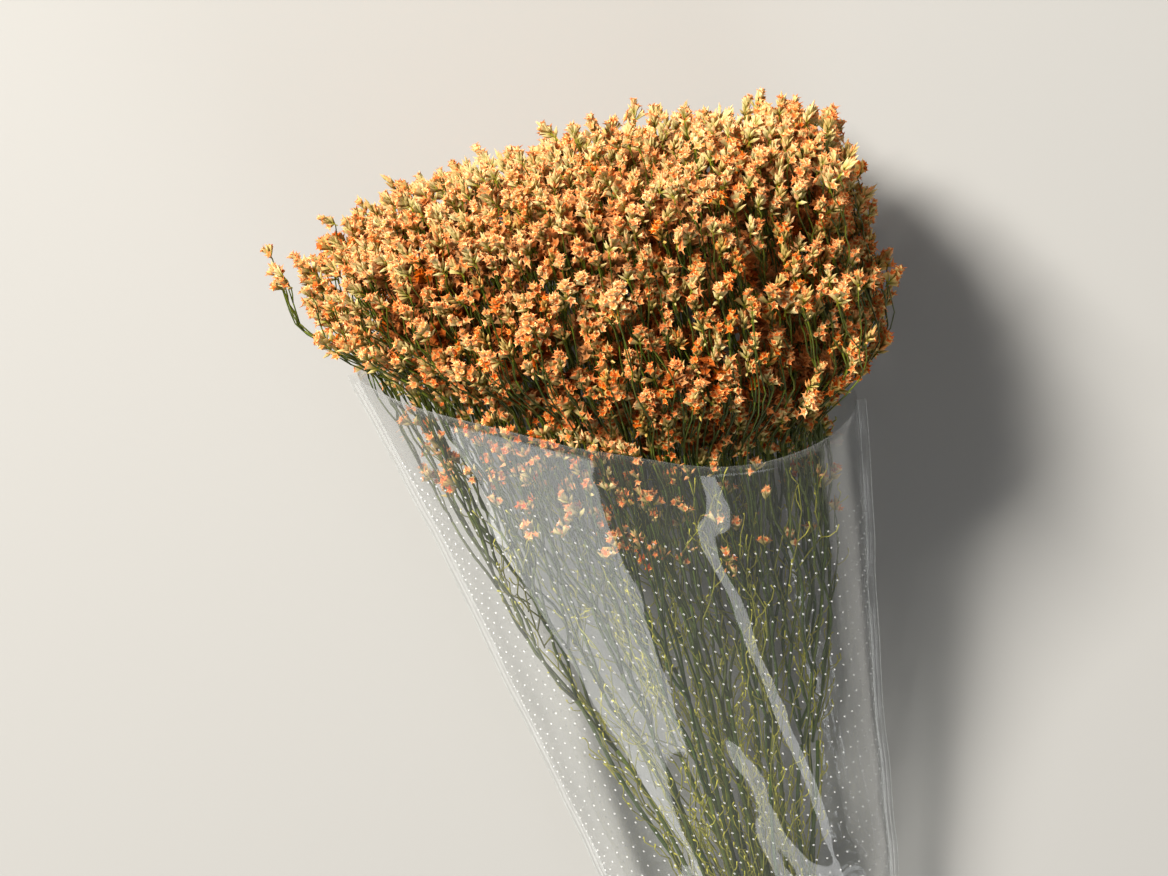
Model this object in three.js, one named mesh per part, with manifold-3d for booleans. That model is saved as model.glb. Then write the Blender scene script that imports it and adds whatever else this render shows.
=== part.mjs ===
// A bunch of dried statice in a clear film sleeve, lying on its side. Millimetres, +Z up.
// The stems run along +Y from their cut ends to the flowers. A place along the bunch is called v,
// and runs from the cut ends (0) to the top of the head. A place across it is (u, w), with
// hypot(u, w) = 1 on the outside of the bunch, u to the side and w up.
import * as THREE from 'three';
import Module from 'manifold-3d';
import { mergeVertices } from 'three/addons/utils/BufferGeometryUtils.js';

const wasm = await Module();
wasm.setup();

// The bunch as a whole
const HEAD = { side: 147, up: 100, shoulderV: 640, topV: 696, roundness: 2.1, spread: 40 };
const AXIS = { rimHeight: 86, rise: 1.15, level: 12 };

// How fast the bunch opens out above the tie, and the room that it leaves inside the film
const OPENING = { side: 105, up: 80, down: 70, power: 1.7 };
const ROOM = { side: 8, up: 7, down: 3.2, floor: 2 };

// The film sleeve: a tapered tube, wide at the flowers, with a straight cut that sits askew
const SLEEVE = {
  bottomV: 62, rimV: 548, rimSlant: 39, cornerRise: 17, thickness: 0.8,
  bottomSide: 60, rimSide: 118, sidePower: 1.43, bottomUp: 13, rimUp: 80, upPower: 0.65,
  slack: 1.05, around: 36, along: 8,
};

// The stems and the rubber band that holds them
const STEM = { radius: 1.66, tipRadius: 1.1, cutStagger: 12, sides: 5 };
const TIE = { v: 105, radius: 9.7, splay: 0.02 };
const BAND = { inner: 10.4, outer: 12.2, width: 8, groove: 0.7, around: 24, clearance: 0.4 };
const RINGS = [
  { count: 1, place: 0, turn: 0, from: 0, to: 0.17 },
  { count: 7, place: 0.428, turn: 0.2, from: 0.24, to: 0.57 },
  { count: 14, place: 0.834, turn: 0.1, from: 0.63, to: 0.87 },
];

// Each spray's dense middle, where its twigs are too many to tell apart: it starts at the fork of
// the stem and ends below the florets, which stand out of it.
const CORE = { forkV: 450, below: 15, width: 0.84, bulge: 1.1, shares: [0.04, 0.42, 0.8, 1, 0.86] };

// The florets, drawn larger than life so that few of them cover the head. Some sit deeper.
const FLORET = {
  radius: 11, petals: 5, notch: 0.6, depth: 0.5, cup: 0.16, stalkRadius: 0.9, root: 24, clearance: 0.4,
};
const LAYERS = [{ count: 235, sink: 0 }, { count: 130, sink: 8 }];

// Florets face away from a point below them, and keep this far above the sleeve's rim
const FACING = { across: 0.3, below: 55, belowMiddle: 50, lowest: -0.2 };
const RIM_GAP = { shoulder: 16, floret: 10 };
const SHRINK = [1, 0.85, 0.72, 0.6];
const SEED = 20252;

const { Vector2, Vector3, Box3 } = THREE;
const { lerp: mix, clamp } = THREE.MathUtils;
const smooth = (t) => THREE.MathUtils.smoothstep(t, 0, 1);

function randomFrom(seed) {
  let state = seed >>> 0;
  return () => {
    state = (state + 0x6d2b79f5) >>> 0;
    let t = Math.imul(state ^ (state >>> 15), state | 1);
    t ^= t + Math.imul(t ^ (t >>> 7), t | 61);
    return ((t ^ (t >>> 14)) >>> 0) / 4294967296;
  };
}

// Height of the bunch's centre line: level at the tie, then rising towards the thick head
function axisHeight(v) {
  const tieHeight = BAND.outer + SLEEVE.thickness + BAND.clearance;
  const start = TIE.v + AXIS.level;
  const t = Math.max(0, (v - start) / (SLEEVE.rimV - start));
  return tieHeight + (AXIS.rimHeight - tieHeight) * t ** AXIS.rise;
}

// Distance from the centre line to an outline with the given reach to the side, up and down.
// Its lower half is boxier away from the tie, as a lying bunch is.
function outlineReach(angle, v, { side, up, down }) {
  const rising = Math.sin(angle) >= 0;
  const power = rising ? 2 : mix(2, 2.8, smooth((v - TIE.v) / 150));
  const height = rising ? up : down;
  const across = Math.abs(Math.cos(angle)) / side;
  const upright = Math.abs(Math.sin(angle)) / height;
  return (across ** power + upright ** power) ** (-1 / power);
}

// Where the sleeve's rim is: askew, with its two folded edges standing up as corners
function rimV(angle) {
  const across = Math.cos(angle);
  return SLEEVE.rimV - SLEEVE.rimSlant * across + SLEEVE.cornerRise * across ** 4;
}

function sleeveSize(v) {
  const s = clamp((v - SLEEVE.bottomV) / (SLEEVE.rimV - SLEEVE.bottomV), 0, 1.1);
  return {
    side: mix(SLEEVE.bottomSide, SLEEVE.rimSide, s ** SLEEVE.sidePower),
    up: mix(SLEEVE.bottomUp, SLEEVE.rimUp, s ** SLEEVE.upPower),
    down: axisHeight(v) * SLEEVE.slack,
  };
}

// The bunch's reach: a thin tied bundle that opens out inside the sleeve and bulges over its rim
function bunchSize(v, angle) {
  if (v < TIE.v) {
    const radius = TIE.radius + TIE.splay * (TIE.v - v);
    return { side: radius, up: radius, down: radius };
  }
  const film = sleeveSize(v);
  const opening = ((v - TIE.v) / (SLEEVE.rimV - TIE.v)) ** OPENING.power;
  const inside = {
    side: Math.min(TIE.radius + OPENING.side * opening, film.side - ROOM.side),
    up: Math.min(TIE.radius + OPENING.up * opening, film.up - ROOM.up),
    down: Math.min(TIE.radius + OPENING.down * opening, axisHeight(v) - ROOM.down),
  };
  const over = smooth((v - rimV(angle)) / HEAD.spread);
  return {
    side: mix(inside.side, HEAD.side, over),
    up: mix(inside.up, HEAD.up, over),
    down: mix(inside.down, axisHeight(v) - ROOM.floor, over),
  };
}

function place({ u, w, v }) {
  const angle = Math.atan2(w, u);
  const reach = Math.hypot(u, w) * outlineReach(angle, v, bunchSize(v, angle));
  return new Vector3(reach * Math.cos(angle), v, axisHeight(v) + reach * Math.sin(angle));
}

// A closed mesh from points and triangles, turned right side out
function closedMesh(points, triangles) {
  let volume = 0;
  for (const [a, b, c] of triangles) {
    volume += points[a].dot(new Vector3().crossVectors(points[b], points[c]));
  }
  const coordinates = points.flatMap((point) => point.toArray());
  const geometry = new THREE.BufferGeometry();
  geometry.setAttribute('position', new THREE.Float32BufferAttribute(coordinates, 3));
  geometry.setIndex(triangles.flatMap(([a, b, c]) => (volume < 0 ? [a, c, b] : [a, b, c])));
  return geometry;
}

// A ring of points round a centre, across a direction, from an angle as near as can be to a side
function ringOfPoints(centre, direction, side, radii) {
  const e1 = side.clone().addScaledVector(direction, -side.dot(direction)).normalize();
  const e2 = new Vector3().crossVectors(direction, e1);
  return radii.map((radius, k) => {
    const angle = (k / radii.length) * 2 * Math.PI;
    const point = centre.clone().addScaledVector(e1, radius * Math.cos(angle));
    return point.addScaledVector(e2, radius * Math.sin(angle));
  });
}

// A tapered tube through a row of points
function tube(points, radii, sides) {
  const triangles = [];
  const vertices = points.flatMap((point, i) => {
    const before = points[Math.max(i - 1, 0)];
    const after = points[Math.min(i + 1, points.length - 1)];
    const direction = new Vector3().subVectors(after, before).normalize();
    return ringOfPoints(point, direction, new Vector3(1, 0, 1), Array(sides).fill(radii[i]));
  });
  for (let i = 0; i + 1 < points.length; i++) {
    for (let k = 0; k < sides; k++) {
      const a = i * sides + k;
      const b = i * sides + ((k + 1) % sides);
      triangles.push([a, b, b + sides], [a, b + sides, a + sides]);
    }
  }
  const last = (points.length - 1) * sides;
  for (let k = 1; k + 1 < sides; k++) {
    triangles.push([0, k + 1, k], [last, last + k, last + k + 1]);
  }
  return closedMesh(vertices, triangles);
}

// A floret: a funnel that opens into a cupped star of petals. With a root, its stalk is included.
function floret({ centre, outward, side }, radius, root) {
  const neck = centre.clone().addScaledVector(outward, -FLORET.depth * radius);
  const stalk = Array(3).fill(FLORET.stalkRadius);
  const vertices = ringOfPoints(neck, outward, side, stalk.map((r) => 1.4 * r));
  const ring = 2 * FLORET.petals;
  const star = Array.from({ length: ring }, (_, k) => (k % 2 ? FLORET.notch * radius : radius));
  ringOfPoints(centre, outward, side, star).forEach((point, k) => {
    vertices.push(point.addScaledVector(outward, k % 2 ? 0 : FLORET.cup * radius));
  });
  vertices.push(centre.clone().addScaledVector(outward, -FLORET.cup * radius));
  const middle = vertices.length - 1;
  const triangles = [];
  const nearest = (k) => Math.round((3 * (k % ring)) / ring) % 3;
  for (let k = 0; k < ring; k++) {
    const here = 3 + k;
    const next = 3 + ((k + 1) % ring);
    triangles.push([nearest(k), next, here], [middle, here, next]);
    if (nearest(k) !== nearest(k + 1)) triangles.push([nearest(k), nearest(k + 1), next]);
  }
  if (!root) {
    triangles.push([0, 2, 1]);
    return closedMesh(vertices, triangles);
  }
  const rootward = new Vector3().subVectors(neck, root).normalize();
  vertices.push(...ringOfPoints(root, rootward, side, stalk));
  const base = middle + 1;
  triangles.push([base, base + 2, base + 1]);
  for (let k = 0; k < 3; k++) {
    const next = (k + 1) % 3;
    triangles.push([base + k, base + next, next], [base + k, next, k]);
  }
  return closedMesh(vertices, triangles);
}

// A closed geometry as a solid that can be joined to others, with the box that it fills
function solidOf(geometry) {
  const merged = mergeVertices(geometry);
  const solid = new wasm.Manifold(new wasm.Mesh({
    numProp: 3,
    vertProperties: new Float32Array(merged.attributes.position.array),
    triVerts: new Uint32Array(merged.index.array),
  }));
  return { solid, box: new Box3().setFromBufferAttribute(geometry.attributes.position) };
}

// Fuses overlapping solids into one body
function fuse(solids) {
  const mesh = solids.map(({ solid }) => solid).reduce((all, piece) => all.add(piece)).getMesh();
  const geometry = new THREE.BufferGeometry();
  geometry.setAttribute('position', new THREE.Float32BufferAttribute(mesh.vertProperties, 3));
  geometry.setIndex(new THREE.Uint32BufferAttribute(mesh.triVerts, 1));
  return geometry;
}

// Where each stem stands across the bunch: one in the middle and two rings round it
function stemPlaces() {
  return RINGS.flatMap((ring) => Array.from({ length: ring.count }, (_, i) => {
    const angle = ((i + ring.turn) / ring.count) * 2 * Math.PI;
    const halfAngle = (CORE.width * Math.PI) / ring.count;
    const at = { u: ring.place * Math.cos(angle), w: ring.place * Math.sin(angle) };
    return { ...at, angle, halfAngle, from: ring.from, to: ring.to, sites: [] };
  }));
}

// Where the dome over the head's shoulder is, at a distance from the middle
function domeV(rho) {
  const share = (1 - Math.min(rho, 1) ** HEAD.roundness) ** (1 / HEAD.roundness);
  return mix(HEAD.shoulderV, HEAD.topV, share);
}

// The head's outside from the middle of its top to the sleeve's rim, in steps of equal area:
// the dome first, and then the side
function headProfile(steps) {
  const samples = [];
  const fine = 400;
  const domeShare = 0.7;
  const meanRadius = (HEAD.side + HEAD.up) / 2;
  const power = 2 / HEAD.roundness;
  const rise = HEAD.topV - HEAD.shoulderV;
  const sideLength = HEAD.shoulderV - SLEEVE.rimV - RIM_GAP.floret;
  let area = 0;
  for (let i = 0; i <= fine; i++) {
    const bend = Math.min(i / (domeShare * fine), 1) * (Math.PI / 2);
    const down = Math.max(0, (i / fine - domeShare) / (1 - domeShare));
    const rho = Math.sin(bend) ** power;
    const drop = rise * (1 - Math.cos(bend) ** power) + sideLength * down;
    const before = samples.at(-1) ?? { rho: 0, drop: 0 };
    area += (rho + before.rho) * Math.hypot(meanRadius * (rho - before.rho), drop - before.drop);
    samples.push({ rho, drop, down, area });
  }
  const atShare = (share) => samples.find((sample) => sample.area >= share * area);
  return Array.from({ length: steps }, (_, k) => atShare((k + 0.5) / steps));
}

// Evenly spread places for one layer of florets, by a spiral of golden angles
function layerSites({ count, sink }, random) {
  const golden = Math.PI * (3 - Math.sqrt(5));
  return headProfile(count).map(({ rho, drop, down }, i) => {
    const angle = i * golden + sink;
    const u = rho * Math.cos(angle);
    const w = rho * Math.sin(angle);
    const shoulder = Math.max(HEAD.shoulderV, rimV(angle) + RIM_GAP.shoulder);
    const side = down * (shoulder - rimV(angle) - RIM_GAP.floret);
    const v = down > 0 ? shoulder - side : HEAD.topV - drop;
    const below = FACING.below + FACING.belowMiddle * (1 - rho);
    const focus = place({ u: FACING.across * u, w: FACING.across * w, v: v - below });
    const surface = place({ u, w, v });
    const outward = new Vector3().subVectors(surface, focus).normalize();
    outward.z = Math.max(outward.z, FACING.lowest);
    outward.normalize();
    const centre = surface.addScaledVector(outward, -sink - 5 * random());
    centre.z = Math.max(centre.z, FLORET.radius * Math.hypot(outward.x, outward.y) * 0.8);
    const turn = 2 * Math.PI * random();
    return { u, w, v, centre, outward, side: new Vector3(Math.cos(turn), 0.2, Math.sin(turn)) };
  });
}

// Gives each floret to the stem that stands nearest below it
function shareOut(sites, stems) {
  for (const site of sites) {
    const distance = (stem) => Math.hypot(stem.u - site.u, stem.w - site.w);
    stems.reduce((best, stem) => (distance(stem) < distance(best) ? stem : best)).sites.push(site);
  }
}

// A stem from its cut end to its fork
function stemTube(stem, random) {
  const top = CORE.forkV + 20;
  const stations = [STEM.cutStagger * random(), TIE.v, TIE.v + AXIS.level, 200, 300, 390, top];
  const radii = stations.map((v) => mix(STEM.radius, STEM.tipRadius, smooth((v - TIE.v) / (top - TIE.v))));
  return tube(stations.map((v) => place({ ...stem, v })), radii, STEM.sides);
}

// The outline of a stem's share of the head: a hexagon in the middle, or a sector of a ring
function shareOutline({ angle, halfAngle, from, to }) {
  if (from === 0) {
    return Array.from({ length: 6 }, (_, k) => ({ rho: to, turn: (k / 6) * 2 * Math.PI }));
  }
  const middle = (from + to) / 2;
  const bulge = CORE.bulge;
  const sector = [
    [from, -1], [middle, -bulge], [to, -1], [to, 0], [to, 1], [middle, bulge], [from, 1], [from, 0],
  ];
  return sector.map(([rho, side]) => ({ rho, turn: angle + side * halfAngle }));
}

// The dense middle of a spray: it widens from the fork to the spray's share of the head.
function sprayCore(stem, random) {
  const { u, w } = stem;
  const outline = shareOutline(stem);
  const last = CORE.shares.length - 1;
  const vertices = CORE.shares.flatMap((share, level) => outline.map(({ rho, turn }) => {
    const top = domeV(rho) - CORE.below;
    const spread = share * (1 - 0.1 * random());
    const v = mix(CORE.forkV, top, (level / last) ** 0.9) - (level ? 6 * random() : 0);
    return place({ u: mix(u, rho * Math.cos(turn), spread), w: mix(w, rho * Math.sin(turn), spread), v });
  }));
  const sides = outline.length;
  const triangles = [];
  for (let level = 0; level < last; level++) {
    for (let k = 0; k < sides; k++) {
      const a = level * sides + k;
      const b = level * sides + ((k + 1) % sides);
      triangles.push([a, b, b + sides], [a, b + sides, a + sides]);
    }
  }
  for (let k = 1; k + 1 < sides; k++) {
    triangles.push([0, k + 1, k], [last * sides, last * sides + k, last * sides + k + 1]);
  }
  return closedMesh(vertices, triangles);
}

// Where a floret's stalk starts: deep in the middle of its own spray
function stalkRoot(stem, site) {
  const rho = clamp(Math.hypot(site.u, site.w), stem.from, stem.to - 0.05);
  const across = Math.atan2(site.w, site.u) - stem.angle;
  const nearest = Math.atan2(Math.sin(across), Math.cos(across));
  const most = 0.7 * stem.halfAngle;
  const turn = stem.angle + clamp(nearest, -most, most);
  const v = Math.min(site.centre.y, domeV(rho)) - FLORET.root;
  return place({ u: rho * Math.cos(turn), w: rho * Math.sin(turn), v });
}

// Whether a floret stands clear of everything on other stems, and of its own stem's florets
function isClear(star, whole, stem, grown) {
  const apart = (piece) => !piece.box.clone().expandByScalar(FLORET.clearance).intersectsBox(whole.box);
  return grown.every((other) => {
    if (apart(other.whole)) return true;
    if (other.stem !== stem) return whole.solid.minGap(other.whole.solid, 1) >= FLORET.clearance;
    const crossed = star.solid.intersect(other.whole.solid);
    return crossed.isEmpty() && (!other.star || other.star.solid.intersect(whole.solid).isEmpty());
  });
}

// Grows each floret as large as there is room for, and leaves it out where there is none.
function growFlorets(stems, sleeveGeometry) {
  const grown = [{ whole: solidOf(sleeveGeometry) }];
  for (const stem of stems) {
    for (const piece of stem.pieces) grown.push({ stem, whole: piece });
  }
  for (const stem of stems) {
    const core = stem.pieces[1];
    for (const site of stem.sites) {
      for (const share of SHRINK) {
        const star = solidOf(floret(site, share * FLORET.radius));
        const whole = solidOf(floret(site, share * FLORET.radius, stalkRoot(stem, site)));
        const rooted = !core.solid.intersect(whole.solid).isEmpty();
        if (rooted && whole.box.min.z > 0 && isClear(star, whole, stem, grown)) {
          grown.push({ stem, whole, star });
          stem.pieces.push(whole);
          break;
        }
      }
    }
  }
}

function sprays(sleeveGeometry) {
  const random = randomFrom(SEED);
  const stems = stemPlaces();
  for (const layer of LAYERS) shareOut(layerSites(layer, random), stems);
  for (const stem of stems) stem.pieces = [stemTube(stem, random), sprayCore(stem, random)].map(solidOf);
  growFlorets(stems, sleeveGeometry);
  return stems.map((stem) => fuse(stem.pieces));
}

// The rubber band: a ring of two flat loops side by side round the stems
function rubberBand() {
  const half = BAND.width / 2;
  const edge = BAND.outer - 0.3;
  const profile = [
    [BAND.inner, -half], [edge, -half], [BAND.outer, -half / 2], [BAND.outer - BAND.groove, 0],
    [BAND.outer, half / 2], [edge, half], [BAND.inner, half], [BAND.inner, -half],
  ];
  return new THREE.LatheGeometry(profile.map(([radius, along]) => new Vector2(radius, along)), BAND.around);
}

// A point on the outside of the sleeve. Its underside lies flat on the surface.
function filmPoint(angle, row) {
  const v = mix(SLEEVE.bottomV, rimV(angle), row / SLEEVE.along);
  const reach = outlineReach(angle, v, sleeveSize(v));
  return new Vector3(reach * Math.cos(angle), v, Math.max(0, axisHeight(v) + reach * Math.sin(angle)));
}

// The sleeve's film: an open tube with walls of even thickness
function sleeve() {
  const vertices = [];
  const triangles = [];
  const rows = SLEEVE.along + 1;
  const step = (2 * Math.PI) / SLEEVE.around;
  for (let row = 0; row < rows; row++) {
    for (let k = 0; k < SLEEVE.around; k++) {
      const outer = filmPoint(k * step, row);
      const before = filmPoint((k - 0.5) * step, row);
      const run = filmPoint((k + 0.5) * step, row).sub(before);
      const inward = new Vector3(-run.z, 0, run.x).normalize();
      vertices.push(outer, outer.clone().addScaledVector(inward, SLEEVE.thickness));
    }
  }
  const index = (row, k, layer) => 2 * (row * SLEEVE.around + (k % SLEEVE.around)) + layer;
  const quad = (a, b, c, d) => triangles.push([a, b, c], [a, c, d]);
  for (let k = 0; k < SLEEVE.around; k++) {
    for (let row = 0; row + 1 < rows; row++) {
      quad(index(row, k, 0), index(row, k + 1, 0), index(row + 1, k + 1, 0), index(row + 1, k, 0));
      quad(index(row, k, 1), index(row + 1, k, 1), index(row + 1, k + 1, 1), index(row, k + 1, 1));
    }
    const rim = rows - 1;
    quad(index(0, k, 0), index(0, k, 1), index(0, k + 1, 1), index(0, k + 1, 0));
    quad(index(rim, k, 0), index(rim, k + 1, 0), index(rim, k + 1, 1), index(rim, k, 1));
  }
  return closedMesh(vertices, triangles);
}

const film = { color: 0xe9edf0, roughness: 0.1, metalness: 0, transparent: true, opacity: 0.3 };
const materials = {
  sleeve: new THREE.MeshStandardMaterial(film),
  band: new THREE.MeshStandardMaterial({ color: 0xb98a55, roughness: 0.6, metalness: 0 }),
  spray: new THREE.MeshStandardMaterial({ color: 0xe9964a, roughness: 0.8, metalness: 0 }),
};

const bunch = new THREE.Group();

function add(name, geometry, material) {
  const mesh = new THREE.Mesh(geometry, material.clone());
  mesh.name = name;
  bunch.add(mesh);
  return mesh;
}

const sleeveMesh = add('sleeve', sleeve(), materials.sleeve);
const band = add('rubber_band', rubberBand(), materials.band);
band.position.set(0, TIE.v, axisHeight(TIE.v));
sprays(sleeveMesh.geometry).forEach((geometry, i) => {
  add(`spray_${String(i + 1).padStart(2, '0')}`, geometry, materials.spray);
});

// The origin is the middle of the space that the bunch takes up, on the surface it lies on.
const group = new THREE.Group();
group.add(bunch);
const space = new Box3().setFromObject(bunch);
const middle = space.getCenter(new Vector3());
bunch.position.set(-middle.x, -middle.y, -space.min.z);

export default group;
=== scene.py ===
"""A bunch of dried statice in a clear film sleeve, lying on its side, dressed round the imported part.

The forms are worked out in millimetres in the bunch's own coordinates: v runs along +Y from the
cut ends (0) to the top of the head, and a place across the bunch is (u, w), with a length of 1 on
its outside, u to the side and w up. Meshes are handed over in metres, in the frame of the part.
"""

import math

import bpy
import numpy as np
from mathutils import Matrix, Vector


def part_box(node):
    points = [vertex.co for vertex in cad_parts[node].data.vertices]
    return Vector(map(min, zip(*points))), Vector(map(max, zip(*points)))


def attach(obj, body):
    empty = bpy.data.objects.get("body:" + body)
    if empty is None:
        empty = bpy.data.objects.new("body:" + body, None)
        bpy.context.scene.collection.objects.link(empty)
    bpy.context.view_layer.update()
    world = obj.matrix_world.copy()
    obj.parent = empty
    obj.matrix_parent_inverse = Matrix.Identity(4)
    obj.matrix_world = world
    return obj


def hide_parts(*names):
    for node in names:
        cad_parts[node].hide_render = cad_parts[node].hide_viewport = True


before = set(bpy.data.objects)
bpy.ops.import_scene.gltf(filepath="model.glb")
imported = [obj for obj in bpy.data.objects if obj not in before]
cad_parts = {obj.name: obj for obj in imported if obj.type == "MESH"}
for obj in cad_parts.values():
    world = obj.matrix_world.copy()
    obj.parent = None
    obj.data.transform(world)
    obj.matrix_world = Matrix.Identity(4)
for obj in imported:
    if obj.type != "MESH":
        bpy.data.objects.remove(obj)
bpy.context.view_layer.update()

MM_PER_METRE = 1000
TURN = 2 * math.pi
GOLDEN = math.pi * (3 - math.sqrt(5))
SEED = 7

# The head's dome, the bunch's centre line and its tie, in millimetres
HEAD_SIDE, HEAD_UP, SHOULDER_V, TOP_V, ROUNDNESS, SPREAD = 147, 100, 640, 696, 2.1, 40
AXIS_RIM_HEIGHT, AXIS_RISE, AXIS_LEVEL = 86, 1.15, 12
TIE_V, TIE_RADIUS, TIE_SPLAY, TIE_HEIGHT = 105, 9.7, 0.02, 13.4

# The power of the outline's curve: above, and below, where it turns boxy over this length
ROUND, BOXY, BOXY_OVER = 2, 2.8, 150

# How fast the bunch opens out above the tie, and the room that it leaves inside the film
OPENING_SIDE, OPENING_UP, OPENING_DOWN, OPENING_POWER = 125, 84, 74, 1.35
ROOM_SIDE, ROOM_UP, ROOM_DOWN, ROOM_FLOOR = 8, 7, 3.2, 2

# Kinds of cluster: whole ones on the head's outside, plain ones in its depths, and small ones
WHOLE, PLAIN, SMALL = 0, 1, 2

# Florets: lobes, unevenness, share of buds about to open, and the range of sizes of each kind
LOBES, RUFFLE, LOBE_LIFT, CRINKLE, OPENING_BUDS = 5, 0.26, 0.3, 0.16, 0.28
OPEN_SIZE, BUD_SIZE, PLAIN_SIZE = (0.88, 1.12), (0.8, 1.15), (0.85, 1.15)

# Florets as (radius, height): rings of a cup or bud, with the middle of its top, and a corolla
OPEN_CUP, OPEN_CUP_TOP = [(0.34, 0.6), (1.75, 5.4)], (0, 0, 4.2)
BUD, BUD_TOP = [(0.34, 0.4), (0.95, 3.2)], (0.1, 0, 6.6)
OPEN_STAR = {"foot": (0.5, 4.1), "notch": (1.0, 5.3), "tip": (2.25, 6.1), "throat": 4.8}
PLAIN_STAR = {"foot": (0.3, 0.4), "notch": (1.3, 5.2), "tip": (2.5, 5.9), "throat": 4.6}

# Clusters: florets in each kind, shares of open ones, the twig inside, and how florets lean out
FLORETS = {WHOLE: (10, 14), PLAIN: (7, 10), SMALL: (4, 8)}
OPENNESS, PLAIN_TEMPLATES = [0.15, 0.35, 0.45, 0.5, 0.55, 0.6, 0.65, 0.7, 0.75, 0.85], 5
FLORET_STEP, STALK_RADIUS, STALK_STEPS, FAN_DEPTH = 0.5, 0.42, (-0.3, 0.4, 1.0), 0.8
LEAN_LOW, LEAN_HIGH, LEAN_EASE, UNEVEN_LEAN, UNEVEN_TURN = 1.0, 0.1, 0.8, 0.14, 0.4

# How clusters stand on their twigs, and their sizes
CLUSTER_BELOW, CLUSTER_INWARD, FORWARD_LEAN, UNEVEN_STAND = 26, 0.8, 0.45, 0.24
CLUSTER_SIZE, PLAIN_GROWTH, LOWEST_PETAL = (0.82, 1.1), 1.25, 0.3

# How deep a cluster's colour is: it differs at random, and it is paler towards the top of the head,
# which is painted light
PAINTED_LIGHT_FROM_V, PAINTED_LIGHT_OVER, DEPTH_LOW, TOP_PAINTED_LIGHT, DEPTH_SMALL = 590, 90, 0.62, 0.36, 0.35
# The last factor darkens the plain clusters in the head's depths: painted shade
DEPTH_SPREAD, SHADE_RANGE, PLAIN_PAINTED_SHADE = 0.27, (0.88, 1.1), 0.62

# Tips in layers from the head's outside inwards: how many, how deep they lie, and their clusters
LAYERS = [(1290, 8, WHOLE), (540, 21, PLAIN), (260, 36, PLAIN), (130, 54, PLAIN)]
DOME_SHARE, RIM_GAP, SINK_RANGE = 0.46, 4, (-2, 4)
DOME_EVENING, SIDE_EVENING, TURN_SCATTER, REACH_SCATTER, V_SCATTER = 0.8, 0.5, 0.6, 0.35, 2.5

# How low the head's underside starts, and the few outer tips that stand proud of the others
UNDERSIDE, PROUD_SHARE, PROUD_REACH = 0.75, 0.05, 10

# Sinking tips: those at the side move in, and less so over the shoulder, and the others down
SIDE_FROM, SIDE_OVER, SHOULDER_SHARE, SHOULDER_OVER = 0.55, 0.4, 0.75, 40
MEAN_HALF_WIDTH, SIDE_KEEPS = 120, 0.85

# Rounded billows of the head, between which the tips lie deeper
BILLOWS, BILLOW_DEPTH, BILLOW_REACH = 75, 9, 26

# Loose sprigs at the -X side, in small fans, and the share of the other tips left out there
SIDE_SPRIGS, FAN, SPRIG_SECTOR, SPRIG_REACH = 14, 4, (-0.6, 0.7), (0.98, 1.02)
SPRIG_RISE, SPRIG_LOW, FAN_TURN, FAN_REACH, FAN_V, FURTHEST = 70, 0.15, 0.055, 0.016, 5, 1.025
LOOSE_SIDE, THINNED = 0.88, 0.18

# Short twigs that flower inside the film
INNER_TIPS, INNER_DEPTH, INNER_EASE, LEFT_SHARE = 300, 72, 1.6, 0.55
LEFT_SECTOR, INNER_AREA = (1.5, 3.3), (0.5, 0.96)

# Forks, and twigs, as (from, to) lengths with the number of points along them and their sway
FORK_SLOPE, LOWEST_FORK = math.tan(math.radians(17)), 330
FORK_DROP, FORK_JITTER, FORK_DRIFT = 3, 5, 0.006
TWIG_RADIUS, TWIG_GROWTH, FORK_RADIUS, TWIG_TAPER, TWIG_SIDES = 0.34, 0.28, 1.0, 1.3, 3
TWIG_LENGTHS = [(0, 14, 3, 0), (14, 45, 5, 0.01), (45, 1e9, 10, 0.05)]
TWIG_EASE, WITHIN, WAVES = 1.6, 0.95, (0.3, 0.9)

# Stems, in rings of (how many, distance from the middle, turn), and their form
RINGS = [(1, 0, 0), (7, 0.428, 0.2), (14, 0.834, 0.1)]
STEM_RADIUS, STEM_SIDES, STEM_RIDGES, STEM_STEPS, STEM_SWAY = 1.66, 8, 0.12, 26, 0.11
CUT_STAGGER, STRAIGHT_V, STEM_BENDS_V, SHORTEST_BEND, LEAD_PULL = 12, 135, 400, 30, 0.002

# Branches that leave a stem low down
BRANCH_V, BRANCH_SPREAD, BRANCH_SLOPE, BRANCH_EASE = 150, 60, math.tan(math.radians(9)), 0.6
BRANCH_RADIUS, BRANCH_SIDES, BRANCH_STEPS = 1.0, 6, 15

# Twigs without flowers, and the small hooked ones on them, as (forward, aside) along each
BARE_TWIGS, BARE_FROM, BARE_REACH, BARE_LENGTH = 15, (150, 500), (0.1, 0.5), (40, 95)
BARE_BELOW_RIM, BARE_STEPS, BARE_SWAY, BARE_RADII = 12, 7, 0.09, (0.5, 0.34)
HOOKED_AT, HOOK_LENGTH = [2, 3, 4, 5, 6], (5, 13)
HOOK, HOOK_RADII = ((0, 0), (0.35, 0.3), (0.75, 0.42), (1, 0.3)), [0.32, 0.3, 0.34, 0.5]
LOWEST_TWIG, YELLOW_SHARE, YELLOW_RANGE = 1, 0.45, (0.75, 1.2)

# Stems turn from tan to green, and then to olive
TAN_FROM, TAN_OVER, OLIVE_FROM, OLIVE_OVER = 30, 260, 380, 260
OLIVE_RANGE, OLIVE_GAIN, STEM_SHADE = (0, 0.7), 0.3, (0.75, 1.15)

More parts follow.
